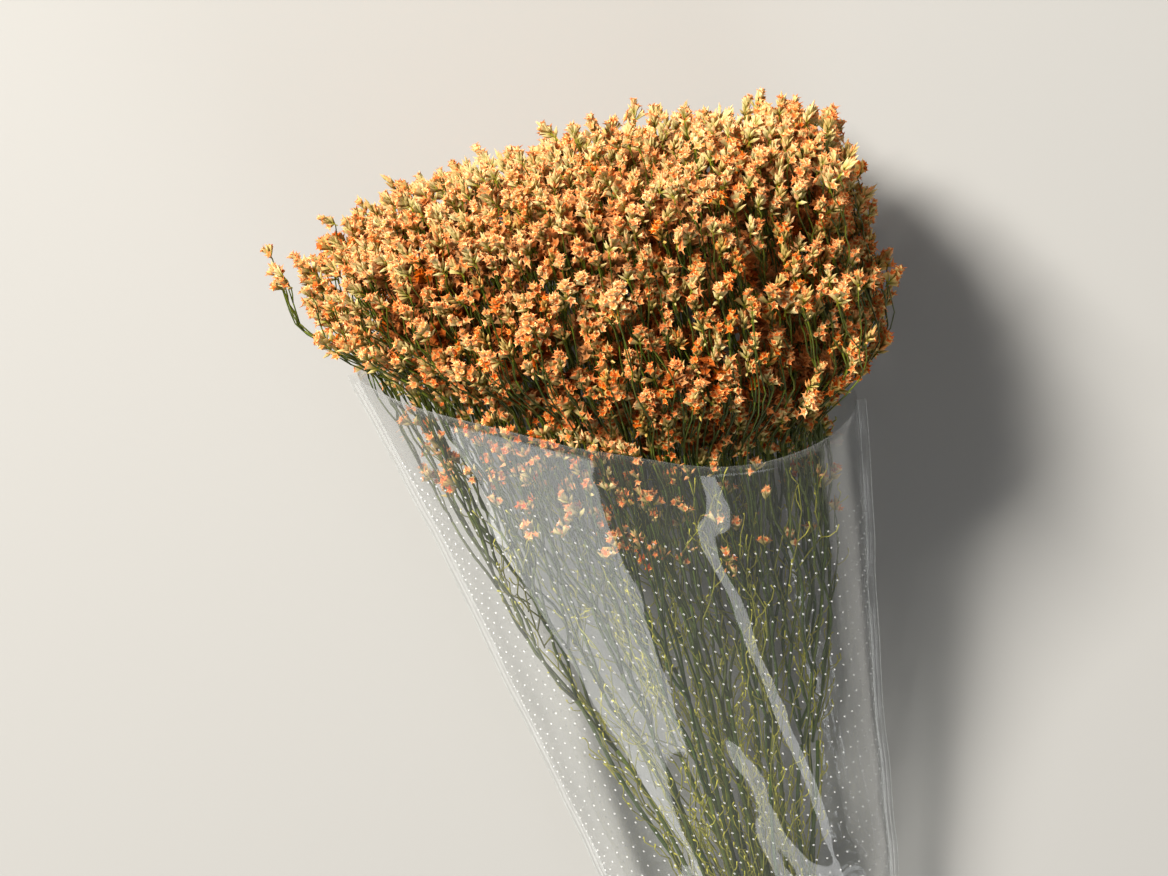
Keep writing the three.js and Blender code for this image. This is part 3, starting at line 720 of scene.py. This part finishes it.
def add_bare_twigs(shape, stem, draw):
    """Yellow-green twigs without flowers, which leave the lower stem and carry small hooked ones."""
    count = BARE_TWIGS
    start_v = draw.uniform(*BARE_FROM, count)
    start = np.column_stack([np.tile(stem, (count, 1)), start_v])
    turn = draw.uniform(0, TURN, count)
    reach = draw.uniform(*BARE_REACH, count)
    length = draw.uniform(*BARE_LENGTH, count)
    end = start + np.column_stack([reach * np.cos(turn), reach * np.sin(turn), length])
    outside = np.maximum(np.hypot(end[:, 0], end[:, 1]) / WITHIN, 1)
    end[:, :2] /= outside[:, None]
    highest = rim_v(np.arctan2(end[:, 1], end[:, 0])) - BARE_BELOW_RIM
    end[:, 2] = np.minimum(end[:, 2], highest)
    line = curve(start, end, BARE_STEPS, draw, BARE_SWAY)
    radii = np.tile(np.linspace(*BARE_RADII, BARE_STEPS), (count, 1))
    points, faces = tubes(line, radii, TWIG_SIDES)
    colours = mix(stem_colour(points[:, 1], draw), TWIG_YELLOW, YELLOW_SHARE)
    shape.add(points, faces, colours, STEMS)
    base = line[:, HOOKED_AT].reshape(-1, 3)
    forward = unit(line[:, HOOKED_AT] - line[:, [at - 1 for at in HOOKED_AT]]).reshape(-1, 3)
    aside = unit(np.cross(forward, draw.standard_normal(base.shape)))
    length = draw.uniform(*HOOK_LENGTH, (len(base), 1))
    lines = np.stack([base + length * (forward * f + aside * a) for f, a in HOOK], 1)
    lines[..., 2] = np.maximum(lines[..., 2], LOWEST_TWIG)
    points, faces = tubes(lines, np.tile(HOOK_RADII, (len(lines), 1)), TWIG_SIDES)
    shape.add(points, faces, TWIG_YELLOW * draw.uniform(*YELLOW_RANGE), STEMS)


def add_clusters(shape, tips, tip_kinds, templates, draw):
    """A cluster of florets at the end of each twig."""
    count = len(tips)
    ends = place(*tips.T)
    below = place(tips[:, 0] * CLUSTER_INWARD, tips[:, 1] * CLUSTER_INWARD, tips[:, 2] - CLUSTER_BELOW)
    uneven = UNEVEN_STAND * draw.standard_normal((count, 3))
    outward = unit(unit(ends - below) + FORWARD_LEAN * np.array([0, 1, 0]) + uneven)
    pick = draw.random(count)
    size = draw.uniform(*CLUSTER_SIZE, count) * np.where(tip_kinds == PLAIN, PLAIN_GROWTH, 1)
    aside = unit(np.cross(outward, draw.standard_normal((count, 3))))
    axes = np.stack([aside, np.cross(outward, aside), outward], 1)
    # Painted light: clusters high on the head get paler colours where the key light falls; the spread
    # around that is tone that differs at random
    up = smooth((tips[:, 2] - PAINTED_LIGHT_FROM_V) / PAINTED_LIGHT_OVER)
    middle = np.where(tip_kinds == SMALL, DEPTH_SMALL, DEPTH_LOW - TOP_PAINTED_LIGHT * up)
    depth = np.clip(draw.normal(middle, DEPTH_SPREAD), 0, 1)
    for kind, group in templates.items():
        # Painted shade: the plain clusters deep in the head are darkened
        painted_shade = PLAIN_PAINTED_SHADE if kind == PLAIN else 1
        for number, (points, faces, weights) in enumerate(group):
            chosen = np.flatnonzero((tip_kinds == kind) & (np.floor(pick * len(group)) == number))
            if not len(chosen):
                continue
            grown = np.einsum("pi,nij->npj", points, axes[chosen]) * size[chosen][:, None, None]
            made = (ends[chosen][:, None, :] + grown).reshape(-1, 3)
            made[:, 2] = np.maximum(made[:, 2], LOWEST_PETAL)
            deep = depth[chosen][:, None]
            palette = np.stack([mix(*PALETTE[part], deep) for part in PARTS], 1)
            palette *= draw.uniform(*SHADE_RANGE, (len(chosen), len(PARTS), 1)) * painted_shade
            colours = np.einsum("pk,nkc->npc", weights, palette).reshape(-1, 3)
            shape.add(made, repeated(faces, len(points), len(chosen)), colours, PETALS)


def new_material(name):
    """A new material with its node tree and its Principled shader."""
    material = bpy.data.materials.new(name)
    material.use_nodes = True
    tree = material.node_tree
    return material, tree, tree.nodes["Principled BSDF"]


def node(tree, kind, **inputs):
    """A new node, with values for its inputs, whose names are given with _ for a space."""
    made = tree.nodes.new("ShaderNode" + kind)
    for name, value in inputs.items():
        made.inputs[name.replace("_", " ")].default_value = value
    return made


def object_noise(tree, scale, detail):
    """A noise that is fixed to the object."""
    coordinates = node(tree, "TexCoord")
    noise = node(tree, "TexNoise", Scale=scale, Detail=detail)
    tree.links.new(coordinates.outputs["Object"], noise.inputs["Vector"])
    return noise.outputs["Fac"]


def spread_range(tree, value, **limits):
    spread = node(tree, "MapRange", **limits)
    tree.links.new(value, spread.inputs["Value"])
    return spread.outputs["Result"]


def noisy_tint(tree, noise, low, high):
    """The tint of each point, made darker and lighter by a noise."""
    tint = node(tree, "Attribute")
    tint.attribute_name = "tint"
    scaled = node(tree, "VectorMath")
    scaled.operation = "SCALE"
    tree.links.new(tint.outputs["Color"], scaled.inputs[0])
    strength = spread_range(tree, noise, From_Min=0.3, From_Max=0.7, To_Min=low, To_Max=high)
    tree.links.new(strength, scaled.inputs["Scale"])
    return scaled.outputs["Vector"]


def add_bump(tree, shader, height, strength, distance):
    bump = node(tree, "Bump", Strength=strength, Distance=distance)
    tree.links.new(height, bump.inputs["Height"])
    tree.links.new(bump.outputs["Normal"], shader.inputs["Normal"])


def mixed_shaders(tree, first, second, share):
    """Two shaders mixed, by a share of the second that is a number or a node's output."""
    mixed = node(tree, "MixShader")
    if isinstance(share, float):
        mixed.inputs["Fac"].default_value = share
    else:
        tree.links.new(share, mixed.inputs["Fac"])
    tree.links.new(first.outputs[0], mixed.inputs[1])
    tree.links.new(second.outputs[0], mixed.inputs[2])
    return mixed


def show(tree, shader):
    tree.links.new(shader.outputs[0], tree.nodes["Material Output"].inputs["Surface"])


def petal_material():
    """Papery florets, which let a little light through."""
    material, tree, shader = new_material("papery_florets")
    colour = noisy_tint(tree, object_noise(tree, 900.0, 3.0), 0.86, 1.12)
    tree.links.new(colour, shader.inputs["Base Color"])
    shader.inputs["Roughness"].default_value = 0.62
    shader.inputs["Specular IOR Level"].default_value = 0.16
    through = node(tree, "BsdfTranslucent")
    tree.links.new(colour, through.inputs["Color"])
    show(tree, mixed_shaders(tree, shader, through, 0.3))
    return material


def rough_material(name, scale, low, high, strength, distance):
    """A dull tinted surface whose noise shows in its colour and in its bump."""
    material, tree, shader = new_material(name)
    noise = object_noise(tree, scale, 3.0)
    tree.links.new(noisy_tint(tree, noise, low, high), shader.inputs["Base Color"])
    shader.inputs["Roughness"].default_value = 0.55
    add_bump(tree, shader, noise, strength, distance)
    return material


def film_material():
    """Clear film: see-through face on, and glossier the more it turns away."""
    material, tree, shader = new_material("clear_film")
    tree.nodes.remove(shader)
    clear = node(tree, "BsdfTransparent", Color=(0.98, 0.985, 0.985, 1))
    gloss = node(tree, "BsdfGlossy", Color=(1, 1, 1, 1), Roughness=0.045)
    add_bump(tree, gloss, object_noise(tree, 55.0, 2.0), 0.06, 0.0012)
    haze = node(tree, "BsdfDiffuse", Color=(0.9, 0.92, 0.93, 1))
    facing = node(tree, "LayerWeight", Blend=0.5)
    steep = node(tree, "Math")
    steep.operation = "POWER"
    steep.inputs[1].default_value = 4.0
    tree.links.new(facing.outputs["Facing"], steep.inputs[0])
    share = spread_range(tree, steep.outputs[0], To_Min=0.05, To_Max=0.7)
    show(tree, mixed_shaders(tree, mixed_shaders(tree, clear, gloss, share), haze, 0.02))
    return material


def weld_material():
    """The film's weld lines and the melted rims of its vents: cloudy and pale."""
    material, tree, shader = new_material("film_weld")
    shader.inputs["Base Color"].default_value = (0.93, 0.95, 0.96, 1)
    shader.inputs["Roughness"].default_value = 0.22
    clear = node(tree, "BsdfTransparent", Color=(1, 1, 1, 1))
    cloud = object_noise(tree, 400.0, 2.0)
    share = spread_range(tree, cloud, From_Min=0.3, From_Max=0.7, To_Min=0.35, To_Max=0.65)
    show(tree, mixed_shaders(tree, clear, shader, share))
    return material


def make_sprays():
    """Each stem with its twigs and clusters, in a piece of its own."""
    draw = np.random.default_rng(SEED)
    templates = cluster_kinds(draw)
    tips, tip_kinds = all_tips(draw)
    stems = stems_of_bunch()
    nearest = np.argmin(np.linalg.norm(tips[:, None, :2] - stems[None], axis=-1), axis=1)
    materials = [petal_material(), rough_material("wiry_stems", 260.0, 0.7, 1.2, 0.3, 0.0004)]
    for number, stem in enumerate(stems):
        own, own_kinds = tips[nearest == number], tip_kinds[nearest == number]
        shape = Shape()
        nodes, parents, carried = join_twigs(own, draw)
        add_twigs(shape, nodes, parents, carried, draw)
        add_stem(shape, stem, nodes, parents, carried, draw)
        add_bare_twigs(shape, stem, draw)
        add_clusters(shape, own, own_kinds, templates, draw)
        made = shape.piece(f"statice_{number + 1:02d}", materials, (STEMS,))
        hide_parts(f"spray_{number + 1:02d}")


def crumple(angle, v):
    """Height of the creases: slight on the open part, and strong low at the sides."""
    height = np.zeros(np.broadcast(angle, v).shape)
    for turns, length, phase, high in CREASES:
        across = turns * angle / TURN + (v - FILM_BOTTOM_V) / length + phase
        height = height + high * (1 - 4 * np.abs(across % 1 - 0.5))
    low = smooth((CRUMPLE_TOP_V - v) / CRUMPLE_OVER) * np.abs(np.cos(angle)) ** CRUMPLE_SIDE
    return height * mix(CREASE_OPEN, CREASE_CRUMPLED, low)


def film_surface(angle, along_share):
    """Points on the outside of the film, for angles round it and shares of its length."""
    v = mix(FILM_BOTTOM_V, rim_v(angle), along_share)
    reach = outline_reach(angle, v, *sleeve_size(v))
    ripple = FOLD_HEIGHT * np.sin(FOLDS * angle + FOLD_BEND * np.sin(FOLD_BENDS * along_share))
    ripple += WIND_HEIGHT * np.sin(WINDS * angle - WIND_ALONG * along_share) - RIPPLE_INSET
    reach = reach + (ripple + crumple(angle, v)) * smooth(np.sin(angle) + RIPPLE_FROM)
    z = axis_height(v) + reach * np.sin(angle)
    return np.stack([reach * np.cos(angle), v, np.maximum(z, FILM_LOWEST)], -1)


def add_film(shape):
    """The tube of film: its outside and its inside, joined at both ends."""
    angle, along_share = np.meshgrid(angles_round(FILM_AROUND), np.linspace(0, 1, FILM_ALONG))
    outer = film_surface(angle, along_share)
    around = np.roll(outer, -1, axis=1) - np.roll(outer, 1, axis=1)
    inward = unit(np.stack([-around[..., 2], np.zeros(angle.shape), around[..., 0]], -1))
    inner = outer + inward * FILM_THICKNESS
    count = FILM_AROUND * FILM_ALONG
    outside = wall_faces(FILM_ALONG, FILM_AROUND)
    inside = outside[:, ::-1] + count
    k = np.arange(FILM_AROUND)
    after = (k + 1) % FILM_AROUND
    last = (FILM_ALONG - 1) * FILM_AROUND
    edges = [
        np.stack([k, k + count, after + count], -1),
        np.stack([k, after + count, after], -1),
        np.stack([last + k, last + after, last + after + count], -1),
        np.stack([last + k, last + after + count, last + k + count], -1),
    ]
    points = np.concatenate([outer.reshape(-1, 3), inner.reshape(-1, 3)])
    shape.add(points, np.concatenate([outside, inside, *edges]), np.ones(3), FILM)


def oval_section(out, thick, wide, sides):
    """Offsets of a section's corners, half as thick outwards and half as wide along the bunch."""
    corner = angles_round(sides)[:, None]
    return thick * out[:, None, :] * np.cos(corner) + wide * np.array([0, 1, 0]) * np.sin(corner)


def outward_round(angle):
    return np.stack([np.cos(angle), np.zeros(len(angle)), np.sin(angle)], -1)


def add_rim(shape, along_share):
    """The film's cut edge, slightly thick, as a thin tube round it."""
    angle = angles_round(FILM_AROUND)
    line = film_surface(angle, np.full(FILM_AROUND, along_share)) + [0, 0, RIM_RADIUS]
    section = oval_section(outward_round(angle), RIM_RADIUS, RIM_RADIUS, EDGE_SIDES)
    loop_tube(shape, line, section, np.ones(3), FILM)


def add_seams(shape):
    """The two welded edges: a flat flange at each side of the sleeve, with two weld lines."""
    t = np.linspace(0, 1, SEAM_STEPS)
    faces = tube_faces(SEAM_STEPS, len(SEAM_SECTION))
    for angle, out in ((0.0, 1), (math.pi, -1)):
        line = film_surface(np.full(SEAM_STEPS, angle), t)
        line[:, 2] += sum(height * np.sin(line[:, 1] / length) for height, length in FLUTTERS)
        line[:, 2] = np.maximum(line[:, 2], SEAM_LOWEST)
        strip = np.stack([line + [out * x, 0, z] for x, z in SEAM_SECTION], 1)
        shape.add(strip, faces if out > 0 else faces[:, ::-1], np.ones(3), FILM)
        welds = np.stack([line + [out * x, 0, 0] for x in WELDS_AT])
        points, welded = tubes(welds, np.full((2, SEAM_STEPS), WELD_RADIUS), EDGE_SIDES)
        shape.add(points, welded, np.ones(3), WELD)


def vent_places():
    """Where the vents are, as angles and shares of the film's length: rows that follow the rim."""
    angles, shares = [], []
    for start in (0, math.pi):
        angle = np.linspace(0, math.pi, VENT_STEPS) + start
        reach_below = rim_v(angle) - FILM_BOTTOM_V
        for below in np.arange(VENT_START, reach_below.min() - VENT_END, VENT_ALONG):
            share = 1 - below / reach_below
            steps = np.linalg.norm(np.diff(film_surface(angle, share), axis=0), axis=-1)
            length = np.concatenate([[0], np.cumsum(steps)])
            middle = length[-1] / 2
            count = int((middle - VENT_MARGIN) // VENT_ACROSS)
            at = middle + VENT_ACROSS * np.arange(-count, count + 1)
            angles.append(np.interp(at, length, angle))
            shares.append(np.interp(at, length, share))
    return np.concatenate(angles), np.concatenate(shares)


def add_vents(shape):
    """The melted rims of the vents, each a small ring, left out where the film lies on the floor."""
    angle, share = vent_places()
    centre = film_surface(angle, share)
    above = centre[:, 2] > VENT_LOWEST
    angle, share, centre = angle[above], share[above], centre[above]
    around = unit(film_surface(angle + NUDGE_ANGLE, share) - centre)
    forward = unit(film_surface(angle, share + NUDGE_SHARE) - centre)
    axes = np.stack([around, forward, unit(np.cross(forward, around))], 1)
    rim = np.array(
        [(r * math.cos(a), r * math.sin(a), h) for a in angles_round(VENT_SIDES) for r, h in VENT_RIM]
    )
    points = centre[:, None, :] + np.einsum("pi,nij->npj", rim, axes)
    faces = wall_faces(VENT_SIDES, len(VENT_RIM), closed=True)
    shape.add(points, repeated(faces, len(rim), len(centre)), np.ones(3), WELD)


def make_film():
    shape = Shape()
    add_film(shape)
    for share in (0, 1):
        add_rim(shape, share)
    add_seams(shape)
    add_vents(shape)
    made = shape.piece("film", [film_material(), weld_material()], (FILM,))
    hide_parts("sleeve")


def make_band():
    """A flat rubber band wound round the stems three times, each turn a little askew."""
    shape = Shape()
    angle = angles_round(BAND_STEPS)
    out = outward_round(angle)
    section = oval_section(out, BAND_THICK / 2, BAND_WIDE / 2, BAND_SIDES)
    for turn in range(BAND_TURNS):
        askew = BAND_ASKEW * np.cos(angle + ASKEW_TURN * turn)
        lift = BAND_LIFT * np.cos(angle - LIFT_START - LIFT_TURN * turn)
        line = out * (BAND_RADIUS + lift)[:, None]
        line[:, 1] += TIE_V + BAND_STEP * (turn - 1) + askew
        line[:, 2] += TIE_HEIGHT
        loop_tube(shape, line, section, RUBBER, 0)
    materials = [rough_material("natural_rubber", 500.0, 0.85, 1.1, 0.2, 0.0002)]
    made = shape.piece("wound_band", materials, (0,))
    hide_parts("rubber_band")


def make_stage():
    corners = [(x * FLOOR_REACH, y * FLOOR_REACH, 0) for x, y in ((-1, -1), (1, -1), (1, 1), (-1, 1))]
    mesh = bpy.data.meshes.new("floor")
    mesh.from_pydata(corners, [], [(0, 1, 2, 3)])
    floor = placed("floor", mesh)
    material, _, shader = new_material("pale_floor")
    shader.inputs["Base Color"].default_value = (*FLOOR, 1)
    shader.inputs["Roughness"].default_value = 0.9
    mesh.materials.append(material)


def make_light():
    world = bpy.data.worlds.new("studio")
    bpy.context.scene.world = world
    world.use_nodes = True
    background = world.node_tree.nodes["Background"]
    background.inputs["Color"].default_value = WORLD_COLOUR
    background.inputs["Strength"].default_value = WORLD_STRENGTH
    for name, (place_at, aim, size, power, colour, unseen) in LAMPS.items():
        lamp = bpy.data.lights.new(name, "AREA")
        lamp.shape = "RECTANGLE"
        lamp.size, lamp.size_y = size
        lamp.energy = power
        lamp.color = colour
        made = placed(name, lamp)
        made.location = place_at
        made.rotation_euler = (Vector(aim) - Vector(place_at)).to_track_quat("-Z", "Y").to_euler()
        setattr(made, unseen, False)


def make_camera():
    camera = bpy.data.cameras.new("camera")
    made = placed("camera", camera)
    up = Vector((math.sin(CAMERA_LEAN), math.cos(CAMERA_LEAN), 0))
    right = Vector((math.cos(CAMERA_LEAN), -math.sin(CAMERA_LEAN), 0))
    back = up * math.sin(CAMERA_TILT) + Vector((0, 0, 1)) * math.cos(CAMERA_TILT)
    target = Vector(np.array(CAMERA_TARGET) / MM_PER_METRE + ORIGIN)
    turn = Matrix((right, back.cross(right), back)).transposed().to_4x4()
    made.matrix_world = Matrix.Translation(target + back * CAMERA_DISTANCE) @ turn
    camera.angle = CAMERA_WIDTH
    camera.clip_start, camera.clip_end = CAMERA_CLIP
    bpy.context.scene.camera = made


make_camera()
make_stage()
make_light()
make_sprays()
make_film()
make_band()

bpy.context.scene.view_settings.view_transform = "Standard"
